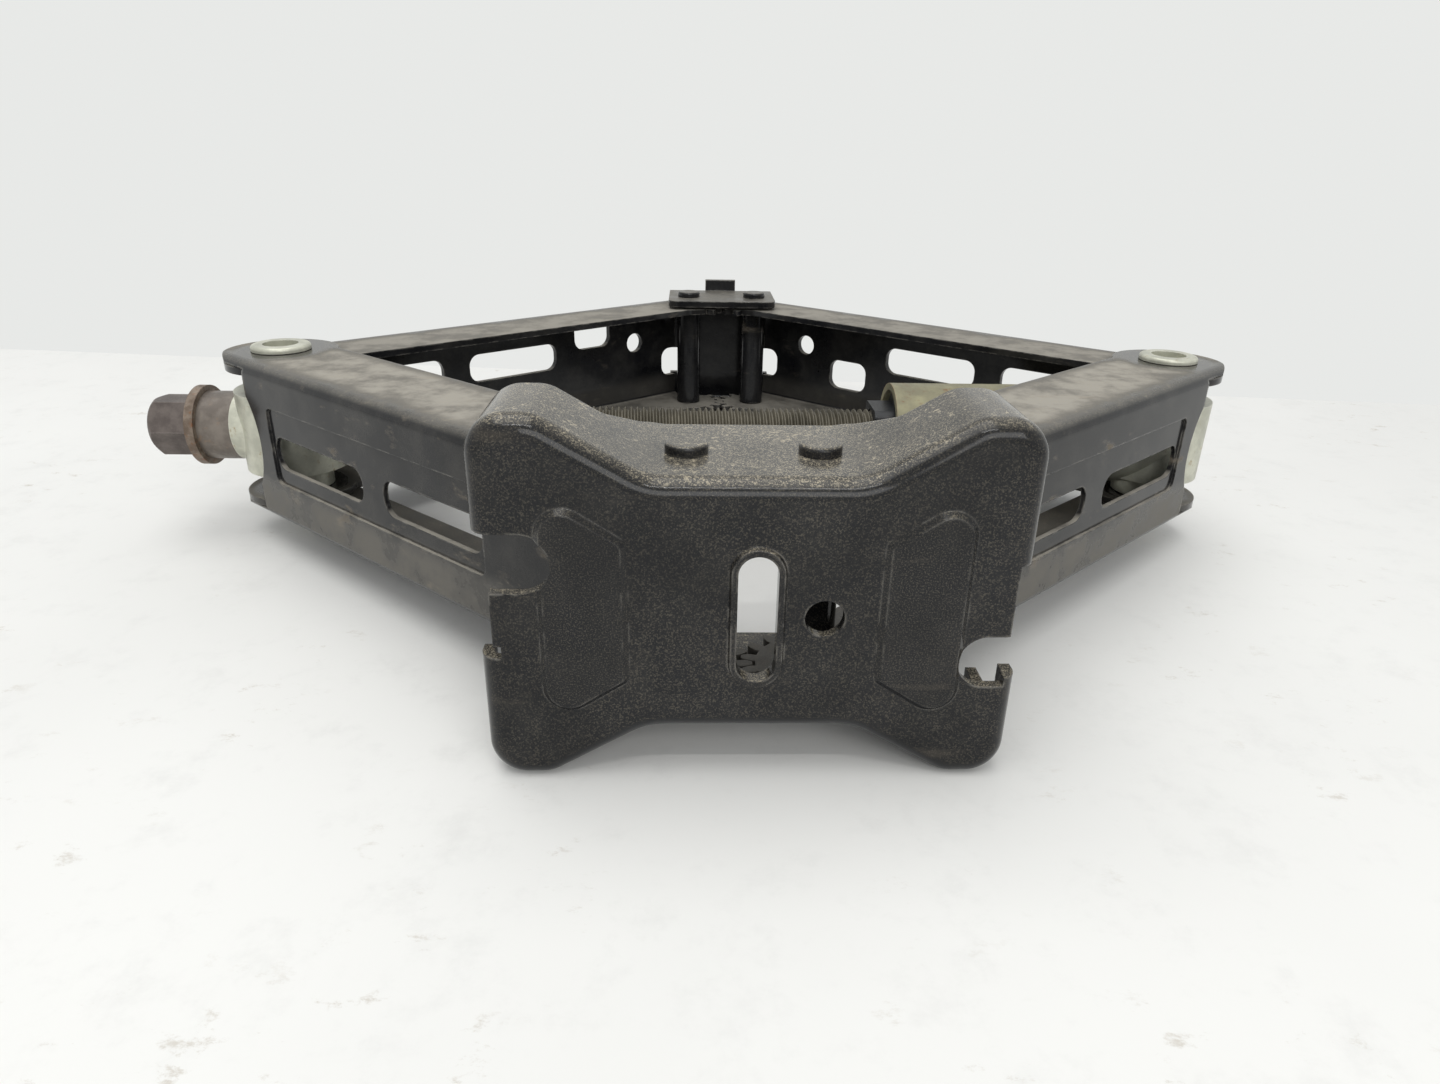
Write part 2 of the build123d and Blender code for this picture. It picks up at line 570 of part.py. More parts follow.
def lead_nut():
    """A square nut with a round flange that is pressed into the tube."""
    start = -NUT_TUBE_REACH - NUT_PROTRUSION
    square = RectangleRounded(NUT_SIZE, NUT_SIZE, NUT_CORNER) & Circle(NUT_FLANGE_RADIUS)
    shape = extrude(Plane.YZ.offset(start) * square, amount=NUT_LENGTH)
    flange_start = -NUT_TUBE_REACH + NUT_FLANGE_INSET
    shape += rod(NUT_FLANGE_RADIUS, flange_start, flange_start + NUT_FLANGE)
    shape -= rod(SCREW_RADIUS + NUT_FIT, start - 1, start + NUT_LENGTH + 1)
    return Pos(TRUNNION_X, SCREW_Y, 0) * shape


# Drive end: places along X, from the drive trunnion's axis outwards

SLEEVE_END = -BOSS_REACH - SLEEVE_LENGTH
RING_END = SLEEVE_END - THRUST_RING_THICKNESS
NECK_END = RING_END - HEX_NECK_LENGTH
HEX_END = NECK_END - HEX_LENGTH
INNER_RACE_END = -BOSS_REACH - RACE_THICKNESS
BALL_CENTRE = INNER_RACE_END - BALL_GAP - BALL_RADIUS
OUTER_RACE_START = BALL_CENTRE - BALL_RADIUS - BALL_GAP
RACE_RADIUS = BOSS_RADIUS - SLEEVE_WALL - RACE_GAP
RACE_BORE = SCREW_JOURNAL_RADIUS + RUNNING_FIT
# The lead screw's stop meets the nut when the jack is fully lowered.
STOP_START = CLOSED_SEPARATION - NUT_TUBE_REACH - NUT_PROTRUSION + NUT_LENGTH + STOP_GAP


def at_drive(shape):
    return Pos(-TRUNNION_X, SCREW_Y, 0) * shape


def thrust_sleeve():
    return at_drive(ring(BOSS_RADIUS, BOSS_RADIUS - SLEEVE_WALL, SLEEVE_END, -BOSS_REACH))


def inner_race():
    return at_drive(ring(RACE_RADIUS, RACE_BORE, INNER_RACE_END, -BOSS_REACH))


def outer_race():
    bore = SCREW_JOURNAL_RADIUS + ASSEMBLY_FIT
    return at_drive(ring(RACE_RADIUS, bore, SLEEVE_END, OUTER_RACE_START))


def bearing_balls():
    """Balls on a circle halfway between the screw and the sleeve."""
    circle = (RACE_RADIUS + RACE_BORE) / 2 + RACE_GAP / 2
    balls = []
    for number in range(BALL_COUNT):
        turn = Rot(360 * number / BALL_COUNT, 0, 0)
        balls.append(at_drive(turn * Pos(BALL_CENTRE, 0, circle) * Sphere(BALL_RADIUS)))
    return Compound(balls)


def thrust_ring():
    bore = SCREW_JOURNAL_RADIUS + ASSEMBLY_FIT
    return at_drive(ring(THRUST_RING_RADIUS, bore, RING_END, SLEEVE_END))


def drive_hex():
    """The hexagon that the crank turns, with a neck against the thrust ring."""
    flat_radius = HEX_FLATS / 2
    hexagon = RegularPolygon(flat_radius, 6, major_radius=False, rotation=0)
    shape = extrude(Plane.YZ.offset(HEX_END) * hexagon, amount=HEX_LENGTH)
    corner_radius = flat_radius / cos(pi / 6)
    cone = rod(corner_radius, HEX_END, NECK_END)
    cone = chamfer(cone.edges().group_by(Axis.X)[0], HEX_END_CHAMFER)
    cone = chamfer(cone.edges().group_by(Axis.X)[-1], HEX_END_CHAMFER / 2)
    shape = (shape & cone) + rod(HEX_NECK_RADIUS, NECK_END, RING_END)
    shape -= rod(SCREW_JOURNAL_RADIUS + ASSEMBLY_FIT, HEX_END + HEX_END_CHAMFER, RING_END)
    return at_drive(shape)


def lead_screw():
    """The threaded rod at its outside diameter, with a plain journal and an end spigot."""
    thread_start = BARREL_RADIUS + SCREW_THREAD_GAP
    shape = rod(SCREW_JOURNAL_RADIUS, HEX_END + HEX_END_CHAMFER + ASSEMBLY_FIT, thread_start)
    shape += rod(SCREW_RADIUS, thread_start, STOP_START)
    shape += rod(STOP_SPIGOT_RADIUS, STOP_START, STOP_START + STOP_THICKNESS)
    return at_drive(shape)


def screw_stop():
    bore = STOP_SPIGOT_RADIUS + ASSEMBLY_FIT
    return at_drive(ring(STOP_RADIUS, bore, STOP_START, STOP_START + STOP_THICKNESS))


def parts():
    yield "foot_plate", foot_plate()
    yield "saddle_bracket", saddle_bracket()
    for side, word in ((LEFT, "left"), (RIGHT, "right")):
        yield f"lower_arm_{word}", lower_arm(side)
        yield f"upper_arm_{word}", upper_arm(side)
        yield f"foot_pin_{word}", pin(side, FOOT_PIVOT, FOOT_WAIST_HALF)
        yield f"saddle_pin_{word}", pin(side, SADDLE_PIVOT, SADDLE_HALF)
        yield f"foot_spacer_{word}", spacer(side, FOOT_PIVOT, FOOT_SPACER_RADIUS, LOWER_INNER_HALF)
        yield f"saddle_spacer_{word}", spacer(side, SADDLE_PIVOT, SADDLE_SPACER_RADIUS, UPPER_INNER_HALF)
    yield "drive_trunnion", drive_trunnion()
    yield "thrust_sleeve", thrust_sleeve()
    yield "inner_race", inner_race()
    yield "bearing_balls", bearing_balls()
    yield "outer_race", outer_race()
    yield "thrust_ring", thrust_ring()
    yield "drive_hex", drive_hex()
    yield "lead_screw", lead_screw()
    yield "screw_stop", screw_stop()
    yield "nut_trunnion", nut_trunnion()
    yield "nut_sleeve", nut_sleeve()
    yield "lead_nut", lead_nut()


os.makedirs("parts", exist_ok=True)
for name, shape in parts():
    export_step(shape, f"parts/{name}.step")
    print(name, round(shape.volume))
print("trunnion x", round(TRUNNION_X, 3), "screw y", round(SCREW_Y, 3), "saddle y", round(SADDLE_PIVOT, 3))
print("foot pivot y", round(FOOT_PIVOT, 3), "saddle face y", round(SADDLE_PIVOT + SADDLE_WEB_OFFSET, 3))
print("screw stop", round(STOP_START, 3), "sleeve end", round(SLEEVE_END, 3))
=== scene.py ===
import bmesh
import bpy
import json
import math
from mathutils import Matrix, Vector


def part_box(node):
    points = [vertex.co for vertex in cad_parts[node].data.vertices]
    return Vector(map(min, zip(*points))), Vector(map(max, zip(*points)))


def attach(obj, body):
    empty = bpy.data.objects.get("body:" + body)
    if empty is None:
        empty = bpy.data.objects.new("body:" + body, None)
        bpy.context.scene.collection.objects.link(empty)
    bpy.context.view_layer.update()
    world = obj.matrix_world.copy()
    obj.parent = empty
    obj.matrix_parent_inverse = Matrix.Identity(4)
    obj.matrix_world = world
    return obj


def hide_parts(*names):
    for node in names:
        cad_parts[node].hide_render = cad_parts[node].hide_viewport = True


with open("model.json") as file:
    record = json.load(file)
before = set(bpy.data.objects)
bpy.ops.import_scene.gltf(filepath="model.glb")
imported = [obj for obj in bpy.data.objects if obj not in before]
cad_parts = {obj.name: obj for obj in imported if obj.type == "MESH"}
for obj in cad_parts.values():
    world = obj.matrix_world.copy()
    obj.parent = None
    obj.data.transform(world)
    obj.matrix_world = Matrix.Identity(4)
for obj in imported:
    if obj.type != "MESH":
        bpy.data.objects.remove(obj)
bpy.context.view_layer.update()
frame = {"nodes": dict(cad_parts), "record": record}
MM = 0.001
scene = bpy.context.scene
nodes = frame["nodes"]

# ---------------------------------------------------------------- camera

CAMERA_PLACE = Vector((-13.1, -160.9, 86.3)) * MM
CAMERA_PITCH = 23.54  # degrees below the jack's own level
CAMERA_YAW = 2.10  # degrees towards +X
CAMERA_ROLL = 1.16  # degrees
CAMERA_LENS = 23.11  # mm
SENSOR_WIDTH = 36.0  # mm
NEAREST_SEEN = 5 * MM


def add_camera():
    pitch, yaw, roll = (math.radians(a) for a in (CAMERA_PITCH, CAMERA_YAW, CAMERA_ROLL))
    forward = Vector((math.sin(yaw) * math.cos(pitch), math.cos(yaw) * math.cos(pitch), -math.sin(pitch)))
    right = Vector((math.cos(yaw), -math.sin(yaw), 0))
    up = right.cross(forward)
    across = right * math.cos(roll) + up * math.sin(roll)
    above = up * math.cos(roll) - right * math.sin(roll)
    camera = bpy.data.objects.new("camera", bpy.data.cameras.new("camera"))
    turn = Matrix((across, above, -forward)).transposed().to_4x4()
    camera.matrix_world = Matrix.Translation(CAMERA_PLACE) @ turn
    camera.data.sensor_width = SENSOR_WIDTH
    camera.data.lens = CAMERA_LENS
    camera.data.clip_start = NEAREST_SEEN
    scene.collection.objects.link(camera)
    scene.camera = camera


# ---------------------------------------------------------------- material tools


class Shader:
    """A node material whose parts are added one by one."""

    SOCKETS = {"color": "Base Color", "rough": "Roughness", "metal": "Metallic", "normal": "Normal"}

    def __init__(self, name):
        self.material = bpy.data.materials.new(name)
        self.material.use_nodes = True
        self.tree = self.material.node_tree
        self.surface = self.tree.nodes["Principled BSDF"]
        self.place = self.tree.nodes.new("ShaderNodeTexCoord").outputs["Object"]
        self.geometry = self.tree.nodes.new("ShaderNodeNewGeometry")

    def node(self, kind, inputs=(), **settings):
        made = self.tree.nodes.new(kind)
        for key, value in settings.items():
            setattr(made, key, value)
        for key, value in dict(inputs).items():
            self.plug(value, made.inputs[key])
        return made

    def plug(self, value, socket):
        if isinstance(value, bpy.types.NodeSocket):
            self.tree.links.new(value, socket)
        else:
            socket.default_value = value

    def noise(self, size_mm, detail=2.0, roughness=0.5, stretch=(1, 1, 1), offset=0.0):
        """Noise whose features are about size_mm wide. The offset moves it off other noise."""
        scale = tuple(s / (size_mm * MM) for s in stretch)
        shift = (offset, offset * 0.7, -offset)
        mapping = self.node("ShaderNodeMapping", {"Vector": self.place, "Scale": scale, "Location": shift})
        texture = self.node(
            "ShaderNodeTexNoise",
            {"Vector": mapping.outputs[0], "Scale": 1.0, "Detail": detail, "Roughness": roughness},
        )
        return texture.outputs["Fac"]

    def math(self, operation, a, b=0.0, clamp=False):
        made = self.node("ShaderNodeMath", {0: a, 1: b}, operation=operation, use_clamp=clamp)
        return made.outputs[0]

    def times(self, first, *others):
        """The product of two or more values."""
        for other in others:
            first = self.math("MULTIPLY", first, other)
        return first

    def most(self, first, *others):
        """The largest of two or more values."""
        for other in others:
            first = self.math("MAXIMUM", first, other)
        return first

    def ramp(self, value, low, high, to_low=0.0, to_high=1.0):
        """A smooth step of a value between two limits."""
        made = self.node(
            "ShaderNodeMapRange",
            {"Value": value, "From Min": low, "From Max": high, "To Min": to_low, "To Max": to_high},
            interpolation_type="SMOOTHSTEP",
        )
        return made.outputs["Result"]

    def mix(self, amount, first, second):
        made = self.node("ShaderNodeMix", {"Factor": amount}, data_type="RGBA")
        self.plug(first, made.inputs[6])
        self.plug(second, made.inputs[7])
        return made.outputs[2]

    def upward(self):
        """How much the surface faces up, from -1 to 1."""
        return self.node("ShaderNodeSeparateXYZ", {"Vector": self.geometry.outputs["Normal"]}).outputs[2]

    def height(self):
        """The height above the mid-plane of the jack."""
        return self.node("ShaderNodeSeparateXYZ", {"Vector": self.place}).outputs[2]

    def away(self, point):
        """The distance from an upright line through a point."""
        flat = self.node("ShaderNodeVectorMath", {0: self.place, 1: (1, 1, 0)}, operation="MULTIPLY")
        made = self.node("ShaderNodeVectorMath", {0: flat.outputs[0], 1: (*point, 0)}, operation="DISTANCE")
        return made.outputs["Value"]

    def beside(self, start, end):
        """The distance sideways from the level line between two points."""
        along = Vector(end) - Vector(start)
        across = Vector((-along.y, along.x, 0)).normalized()
        made = self.node("ShaderNodeVectorMath", {0: self.place, 1: across}, operation="DOT_PRODUCT")
        offset = across.x * start[0] + across.y * start[1]
        return self.math("ABSOLUTE", self.math("SUBTRACT", made.outputs["Value"], offset))

    def bump(self, height, strength, distance_mm, normal):
        made = self.node(
            "ShaderNodeBump",
            {"Height": height, "Strength": strength, "Distance": distance_mm * MM, "Normal": normal},
        )
        return made.outputs["Normal"]

    def rounded(self, radius_mm):
        """The normal with edges eased by a small radius."""
        return self.node("ShaderNodeBevel", {"Radius": radius_mm * MM}, samples=4).outputs["Normal"]

    def edges(self, radius_mm, low, high):
        """A mask of the narrow strip beside sharp edges."""
        dot = self.node(
            "ShaderNodeVectorMath",
            {0: self.rounded(radius_mm), 1: self.geometry.outputs["Normal"]},
            operation="DOT_PRODUCT",
        )
        return self.ramp(dot.outputs["Value"], high, low)

    def set(self, **values):
        for key, value in values.items():
            self.plug(value, self.surface.inputs[self.SOCKETS[key]])


# ---------------------------------------------------------------- paint

PAINT_SHINE = 0.27  # specular level of the gloss paint, where 0.5 is an ordinary plastic
PAINT_DARK = (0.004, 0.0045, 0.006, 1)
PAINT_LIGHT = (0.008, 0.0087, 0.011, 1)
DUST = (0.37, 0.345, 0.295, 1)
SPECKLE = (0.40, 0.35, 0.255, 1)
SMEAR = (0.28, 0.235, 0.175, 1)
NICK = (0.34, 0.32, 0.28, 1)
NICK_SHARE = 0.55

# Heights, and distances from a line or a hub, over which the dust changes
LOWER_FLANGES = (-26 * MM, -16 * MM)
WEB_FOOT = (-15 * MM, -7 * MM)
TOP_LEDGE = (15 * MM, 19 * MM)
BAND_EDGE = (8 * MM, 14.5 * MM)
HUB_EDGE = (11 * MM, 19 * MM)

FOOT_PAINT = {"film": 0.17, "grains": 0.46, "dirt": 0.10, "gloss": 0.10}
OTHER_PAINT = {"film": 0.32, "grains": 0.10, "dirt": 0.25, "gloss": 0.14}
ARM_PAINTS = {
    "lower": {"film": 0.92, "grains": 0.10, "dirt": 0.45, "gloss": 0.13, "inside": 0.12},
    "upper": {"film": 0.75, "grains": 0.05, "dirt": 0.15, "gloss": 0.12, "inside": 1.0},
}


def black_paint(name, film, grains, dirt, gloss, line=None, hub=None, inside=0.6):
    """Gloss black over steel, under dust.

    film is the even dust on what faces up, grains the fine tan speckle, dirt the brown
    smears and gloss the roughness of clean paint. An arm's line runs from its pin to its
    trunnion: the dust lies along its middle, and is wiped off round the hub at its end.
    inside is the share of the dust that reaches the lower flanges.
    """
    s = Shader(name)
    patch = s.noise(30, detail=4, roughness=0.6)
    cloud = s.noise(11, detail=5, roughness=0.65, offset=2.5)
    height = s.height()
    hanging = s.ramp(s.upward(), -0.45, -0.12)  # none on what faces down
    up = s.ramp(s.upward(), 0.50, 0.97)

    haze = dust_haze(s, cloud, height, hanging, up, film, dirt, line, hub, inside)
    grain = dust_grain(s, patch, cloud, hanging, up, grains)
    streak = s.noise(9, detail=4, roughness=0.6, stretch=(0.3, 1.0, 1.6), offset=5.0)
    smear = s.times(s.ramp(streak, 0.60, 0.78), s.times(dirt, hanging))
    nick = s.times(s.edges(0.9, 0.80, 0.97), s.ramp(s.noise(4, detail=3, offset=9.0), 0.42, 0.60))

    color = s.mix(s.ramp(patch, 0.35, 0.7), PAINT_DARK, PAINT_LIGHT)
    color = s.mix(haze, color, DUST)
    color = s.mix(grain, color, SPECKLE)
    color = s.mix(smear, color, SMEAR)
    color = s.mix(s.times(nick, NICK_SHARE), color, NICK)
    matt = s.most(haze, smear, s.times(grain, 0.25))
    rough = s.ramp(matt, 0.02, 0.55, gloss, 0.75)
    normal = s.bump(s.noise(0.7, detail=2), 0.06, 0.05, s.rounded(0.5))
    s.set(color=color, rough=rough, normal=normal)
    s.surface.inputs["Specular IOR Level"].default_value = PAINT_SHINE
    return s.material


def dust_haze(s, cloud, height, hanging, up, film, dirt, line, hub, inside):
    """The even dust: thick on what faces up, thin on what stands upright."""
    sheltered = s.ramp(height, *LOWER_FLANGES, inside, 1.0)
    lying = s.times(up, s.ramp(cloud, 0.28, 0.62, 0.45, 1.0), film, sheltered)
    if line:
        band = s.ramp(s.beside(*line), *BAND_EDGE, 1.0, 0.28)
        ledge = s.ramp(height, *TOP_LEDGE, 1.0, 0.0)
        lying = s.times(lying, s.most(band, ledge))
    if hub:
        lying = s.times(lying, s.ramp(s.away(hub), *HUB_EDGE, 0.10, 1.0))
    thin = s.times(s.ramp(cloud, 0.38, 0.72), 0.012 + 0.045 * film)
    haze = s.math("ADD", s.most(lying, s.times(thin, hanging)), 0.006, clamp=True)
    if line:
        upright = s.times(hanging, s.ramp(s.upward(), 0.15, 0.40, 1.0, 0.0))
        low = s.times(upright, s.ramp(height, *WEB_FOOT, 1.0, 0.0))
        haze = s.most(haze, s.times(low, s.ramp(cloud, 0.36, 0.62, 0.15, 0.75 * dirt)))
    return haze


def dust_grain(s, patch, cloud, hanging, up, grains):
    """The tan speckle: fine grains, and coarser clumps on what faces up."""
    speck = s.noise(0.34, detail=2, roughness=0.8)
    coarse = s.noise(1.3, detail=3, roughness=0.7, offset=4.0)
    grain = s.times(s.ramp(speck, 0.50, 0.66), s.ramp(patch, 0.30, 0.62, 0.45, 1.0))
    clump = s.times(s.ramp(coarse, 0.55, 0.66), s.ramp(cloud, 0.40, 0.62, 0.15, 1.0))
    clump = s.times(clump, s.ramp(up, 0.0, 0.6, 0.2, 1.0))
    grain = s.times(s.most(grain, clump), grains)
    share = s.times(hanging, s.ramp(up, 0.0, 1.0, 0.38, 2.6))
    return s.math("MULTIPLY", grain, share, clamp=True)


# ---------------------------------------------------------------- bare metal

STEELS = {
    "zinc": {
        "dark": (0.44, 0.44, 0.365, 1), "light": (0.60, 0.60, 0.50, 1),
        "metal": 0.45, "rough": 0.40, "patch_mm": 6,
        # the zinc's edge colour is a painted highlight: a pale sheen laid along every sharp edge of its
        # rims
        "stain": (0.33, 0.24, 0.12, 1), "stain_share": 0.2, "edge": (0.72, 0.71, 0.62, 1),
    },
    "dull_zinc": {
        "dark": (0.20, 0.185, 0.12, 1), "light": (0.30, 0.28, 0.17, 1),
        "metal": 0.25, "rough": 0.5, "patch_mm": 9,
        "stain": (0.19, 0.105, 0.05, 1), "stain_share": 0.45, "edge": (0.30, 0.20, 0.12, 1),
    },
    "dark_steel": {
        "dark": (0.083, 0.067, 0.060, 1), "light": (0.138, 0.115, 0.103, 1),
        "metal": 0.35, "rough": 0.5, "patch_mm": 5, "edge": (0.24, 0.21, 0.19, 1),
    },
    "phosphated_steel": {
        "dark": (0.075, 0.066, 0.046, 1), "light": (0.135, 0.12, 0.088, 1),
        "metal": 0.3, "rough": 0.5, "patch_mm": 12,
    },
    "rusted_steel": {
        "dark": (0.125, 0.09, 0.065, 1), "light": (0.26, 0.21, 0.165, 1),
        "metal": 0.3, "rough": 0.55, "patch_mm": 4,
        "stain": (0.19, 0.085, 0.038, 1), "stain_share": 0.45,
    },
    "bare_steel": {
        "dark": (0.13, 0.110, 0.094, 1), "light": (0.215, 0.187, 0.160, 1),
        "metal": 0.4, "rough": 0.42, "patch_mm": 6,
        "stain": (0.24, 0.17, 0.12, 1), "stain_share": 0.3,
    },
    "black_oxide": {
        "dark": (0.010, 0.011, 0.013, 1), "light": (0.022, 0.023, 0.025, 1),
        "metal": 0.1, "rough": 0.42, "patch_mm": 5,
        "stain": (0.07, 0.055, 0.04, 1), "stain_share": 0.3,
    },
}


def steel(name, dark, light, metal, rough, patch_mm, stain=None, stain_share=0.0, edge=None):
    """Metal with patchy colour, fine tool marks, and a stain if given. An edge colour, if given, is laid
    along every sharp edge; on the zinc it is a pale painted highlight.
    """
    s = Shader(name)
    patch = s.noise(patch_mm, detail=4, roughness=0.6)
    fine = s.noise(0.5, detail=2, roughness=0.6, offset=2.0)
    color = s.mix(s.ramp(patch, 0.35, 0.68), dark, light)
    if stain:
        spots = s.noise(patch_mm * 0.45, detail=5, roughness=0.7, offset=7.0)
        color = s.mix(s.ramp(spots, 0.62 - 0.2 * stain_share, 0.80 - 0.2 * stain_share), color, stain)
    if edge:
        # the edge colour along every sharp edge: on the zinc a painted highlight, on the dull zinc a brown
        # edge stain, on the dark steel a paler edge
        color = s.mix(s.edges(0.5, 0.86, 0.97), color, edge)
    ground = s.ramp(fine, 0.35, 0.65, rough - 0.06, rough + 0.08)
    normal = s.bump(fine, 0.15, 0.05, s.rounded(0.35))
    s.set(color=color, rough=ground, metal=metal, normal=normal)
    return s.material


# ---------------------------------------------------------------- painting the pieces

TRUNNIONS = {"left": "drive_trunnion", "right": "nut_trunnion"}
PINS = {"lower": "foot_pin_", "upper": "saddle_pin_"}
EAR_RADIUS = 16.5 * MM  # of the arms' round ends at the trunnions


def slot_materials():
    made = {"black_paint": black_paint("black_paint", **OTHER_PAINT)}
    for name, values in STEELS.items():
        made[name] = steel(name, **values)
    return made


def pivot(node):
    """The place of an upright pivot, from a piece that turns on it."""
    low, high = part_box(node)
    return ((low.x + high.x) / 2, (low.y + high.y) / 2)


def arm_materials():
    """Each arm's paint, with its dust laid along that arm."""
    made = {}
    for side, trunnion in TRUNNIONS.items():
        low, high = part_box("lower_arm_" + side)
        end = low.x + EAR_RADIUS if side == "left" else high.x - EAR_RADIUS
        hub = (end, pivot(trunnion)[1])
        for level, paint in ARM_PAINTS.items():
            name = level + "_arm_" + side
            line = (pivot(PINS[level] + side), hub)
            made[name] = black_paint("paint_" + name, line=line, hub=hub, **paint)
    return made


def paint_nodes(slots):
    """Gives each piece its slot's material, apart from the arms, the foot's pieces and the nut."""
    own = arm_materials()
    own["lead_nut"] = slots["black_oxide"]
    foot_black = black_paint("black_paint_foot", **FOOT_PAINT)
    for part in frame["record"]["subparts"]:
        name = part["node"]
        material = own.get(name, slots[part["material_slot"]])
        if name.startswith("foot"):
            material = foot_black
        nodes[name].data.materials.clear()
        nodes[name].data.materials.append(material)


# ---------------------------------------------------------------- lead screw

THREAD_PITCH = 2.0 * MM
THREAD_DEPTH = 1.2 * MM
THREAD_GAP = 0.3 * MM  # from the drive trunnion to the first thread
THREAD_STEPS = 28  # points round one turn
LATHE_STEPS = 48  # points round one ring of plain bar
ROOT_SHARE, CREST_SHARE = 0.18, 0.14  # of the pitch that is flat at root and crest
JOURNAL_RADIUS = 6.0 * MM  # of the plain bar on the hex's side of the thread
SPIGOT_RADIUS = 4.5 * MM  # of the far end, which carries the stop
SCREW_SLOT = "phosphated_steel"
SHARP_ANGLE = 35  # degrees between faces that meet in a visible edge


def round_point(axis, x, radius, angle):
    """A point round a line along X, whose place is given in Y and Z."""
    return (x, axis[0] + radius * math.cos(angle), axis[1] + radius * math.sin(angle))


def add_thread(mesh, axis, crest, start, end):
    """A right-hand thread as one helical strip, fading to its root at both ends."""
    middle = 0.5 + ROOT_SHARE / 2  # of the crest
    profile = [  # share of the pitch along the screw, share of the thread's depth
        (0.0, 1.0), (ROOT_SHARE, 1.0),
        (middle - CREST_SHARE / 2, 0.0), (middle + CREST_SHARE / 2, 0.0),
    ]
    count = int((end - start) / THREAD_PITCH * THREAD_STEPS)
    rows = []
    for step in range(count + 1):
        angle = 2 * math.pi * step / THREAD_STEPS
        along = start + THREAD_PITCH * (step / THREAD_STEPS)
        row = []
        for share, depth in profile:
            x = min(max(along + (share - 1.0) * THREAD_PITCH, start), end)
            fade = min(1.0, (x - start) / THREAD_PITCH, (end - x) / THREAD_PITCH)
            radius = crest - THREAD_DEPTH * (depth if fade >= 1 else 1 - fade * (1 - depth))
            row.append(mesh.verts.new(round_point(axis, x, radius, angle)))
        rows.append(row)
    last = len(profile) - 1
    for step in range(count):
        for k in range(last):
            mesh.faces.new((rows[step][k], rows[step][k + 1], rows[step + 1][k + 1], rows[step + 1][k]))
        ahead = step + THREAD_STEPS
        if ahead + 1 <= count:
            mesh.faces.new((rows[step][last], rows[ahead][0], rows[ahead + 1][0], rows[step + 1][last]))


def add_lathe(mesh, axis, outline):
    """Turns an outline of (x, radius) points about the axis."""
    rings = []
    for x, radius in outline:
        steps = LATHE_STEPS if radius else 1
        turns = (2 * math.pi * step / LATHE_STEPS for step in range(steps))
        rings.append([mesh.verts.new(round_point(axis, x, radius, turn)) for turn in turns])
    for first, second in zip(rings, rings[1:]):
        for step in range(LATHE_STEPS):
            ahead = (step + 1) % LATHE_STEPS
            a, b = first[step % len(first)], first[ahead % len(first)]
            c, d = second[ahead % len(second)], second[step % len(second)]
            corners = [v for i, v in enumerate((a, b, c, d)) if v not in (a, b, c, d)[:i]]
            mesh.faces.new(corners)


def lead_screw_mesh():
    """The thread, its core, and the plain bar at both ends."""
    low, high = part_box("lead_screw")
    stop_low, stop_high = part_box("screw_stop")
    axis = ((low.y + high.y) / 2, (low.z + high.z) / 2)
    crest = (high.y - low.y) / 2
    core = crest - THREAD_DEPTH
    start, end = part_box("drive_trunnion")[1].x + THREAD_GAP, stop_low.x
    journal = [(low.x, 0.0), (low.x, JOURNAL_RADIUS), (start, JOURNAL_RADIUS), (start, core)]
    spigot = [(end, core), (end, SPIGOT_RADIUS), (stop_high.x, SPIGOT_RADIUS), (stop_high.x, 0.0)]
    mesh = bmesh.new()
    add_thread(mesh, axis, crest, start, end)
    for outline in (journal, spigot, [(start, core), (end, core)]):
        add_lathe(mesh, axis, outline)
    bmesh.ops.recalc_face_normals(mesh, faces=mesh.faces)
    data = bpy.data.meshes.new("lead_screw_thread")
    mesh.to_mesh(data)
    mesh.free()
    data.shade_smooth()
    data.set_sharp_from_angle(angle=math.radians(SHARP_ANGLE))
    return data


def add_lead_screw(slots):
    """The threaded screw, which stands in for the CAD's plain one and rides on its body."""
    data = lead_screw_mesh()
    data.materials.append(slots[SCREW_SLOT])
    piece = bpy.data.objects.new("lead_screw_thread", data)
    scene.collection.objects.link(piece)
    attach(piece, "screw")
    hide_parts("lead_screw")


# ---------------------------------------------------------------- stage

FLOOR_SIZE = 6.0
FLOOR_REACH = 0.312  # from the foot to the floor's far edge
FLOOR_TURN = -5.7  # degrees; the far edge is nearer on the nut's side
FLOOR_COLOR = (0.85, 0.845, 0.81, 1)
SCUFF_COLOR = (0.50, 0.45, 0.37, 1)
SCUFFED = 0.6  # share of the scuffs and mottling that shows
WING_REST = 4 * MM  # from the foot's ground face to where it stands on the floor

SKY_COLOR = (0.95, 0.97, 1.0, 1)
SKY_STRENGTH = 0.53
WALL_COLOR = (0.805, 0.815, 0.80, 1)
LAMPS = {  # place, target, size, watts
    "ceiling": ((-0.25, 0.1, 1.5), (0, 0.12, 0), (1.5, 1.1), 12),
    "front": ((0.35, -1.2, 0.75), (0, 0.05, 0), (1.2, 0.6), 7),
    "glint": ((0.0, -0.6, 1.1), (0, 0, 0.04), (0.6, 0.03), 1.8),
}


def floor_material():
    """A pale painted board, with faint clouds, small dents and a few scuffs."""
    s = Shader("floor")
    patch = s.noise(230, detail=4)
    mottle = s.noise(14, detail=5, roughness=0.7, offset=1.5)
    marks = s.noise(7, detail=6, roughness=0.75, stretch=(0.6, 1, 1), offset=3.0)
    where = s.noise(70, detail=3, offset=6.0)
    clouded, dented = (tuple(c * share for c in FLOOR_COLOR[:3]) + (1,) for share in (0.93, 0.86))
    shade = s.mix(s.ramp(patch, 0.3, 0.7), FLOOR_COLOR, clouded)
    shade = s.mix(s.ramp(mottle, 0.48, 0.80, 0.0, SCUFFED), shade, dented)
    spots = s.times(s.ramp(marks, 0.58, 0.70), s.ramp(where, 0.46, 0.60, 0.0, SCUFFED))
    s.set(color=s.mix(spots, shade, SCUFF_COLOR), rough=0.6)
    return s.material


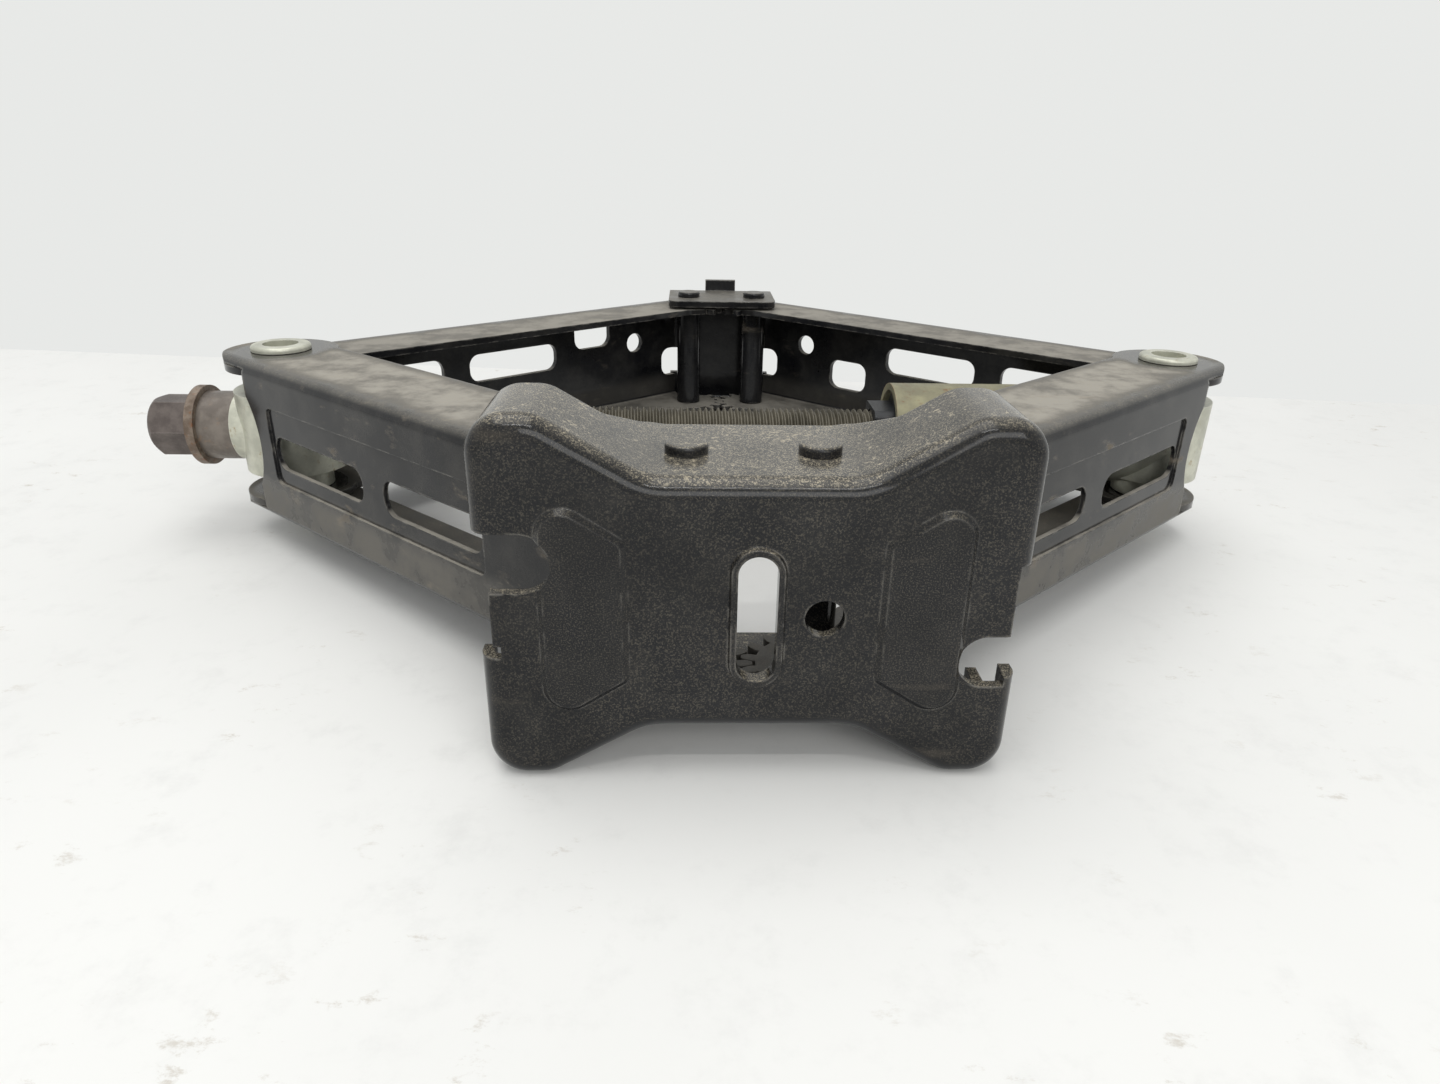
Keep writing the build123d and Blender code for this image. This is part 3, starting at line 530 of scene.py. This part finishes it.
def add_stage():
    """A floor under the lying jack, which rests on the foot's wings and on the saddle's lug."""
    foot_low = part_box("foot_plate")[0]
    lug_low, lug_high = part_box("saddle_bracket")
    front = Vector((0, foot_low.y + WING_REST, foot_low.z))
    back = Vector((0, lug_high.y, lug_low.z))
    tilt = math.atan2(back.z - front.z, back.y - front.y)
    level = Matrix.Translation(front) @ Matrix.Rotation(tilt, 4, "X")
    edge = Matrix.Translation((0, FLOOR_REACH, 0)) @ Matrix.Rotation(math.radians(FLOOR_TURN), 4, "Z")
    half = FLOOR_SIZE / 2
    corners = [(-half, -FLOOR_SIZE, 0), (half, -FLOOR_SIZE, 0), (half, 0, 0), (-half, 0, 0)]
    mesh = bpy.data.meshes.new("floor")
    mesh.from_pydata(corners, [], [(0, 1, 2, 3)])
    mesh.materials.append(floor_material())
    floor = bpy.data.objects.new("floor", mesh)
    floor.matrix_world = level @ edge
    scene.collection.objects.link(floor)


def area_light(name, place, target, size, power):
    light = bpy.data.lights.new(name, "AREA")
    light.shape = "RECTANGLE"
    light.size, light.size_y = size
    light.energy = power
    lamp = bpy.data.objects.new(name, light)
    lamp.location = place
    lamp.rotation_euler = (Vector(target) - Vector(place)).to_track_quat("-Z", "Y").to_euler()
    scene.collection.objects.link(lamp)


def add_world():
    """A pale sky that lights the jack, seen directly as the colour of the wall."""
    world = bpy.data.worlds.new("world")
    scene.world = world
    world.use_nodes = True
    tree = world.node_tree
    lit = tree.nodes["Background"]
    lit.inputs["Color"].default_value = SKY_COLOR
    lit.inputs["Strength"].default_value = SKY_STRENGTH
    seen = tree.nodes.new("ShaderNodeBackground")
    seen.inputs["Color"].default_value = WALL_COLOR
    rays = tree.nodes.new("ShaderNodeLightPath").outputs
    share = rays["Is Camera Ray"]
    for kind in ("Is Glossy Ray", "Is Transmission Ray"):
        either = tree.nodes.new("ShaderNodeMath")
        either.operation = "MAXIMUM"
        tree.links.new(share, either.inputs[0])
        tree.links.new(rays[kind], either.inputs[1])
        share = either.outputs[0]
    mix = tree.nodes.new("ShaderNodeMixShader")
    tree.links.new(share, mix.inputs[0])
    tree.links.new(lit.outputs[0], mix.inputs[1])
    tree.links.new(seen.outputs[0], mix.inputs[2])
    tree.links.new(mix.outputs[0], tree.nodes["World Output"].inputs["Surface"])


add_camera()
add_stage()
add_world()
for lamp_name, lamp_values in LAMPS.items():
    area_light(lamp_name, *lamp_values)
scene.view_settings.view_transform = "Standard"
slot_paints = slot_materials()
paint_nodes(slot_paints)
add_lead_screw(slot_paints)
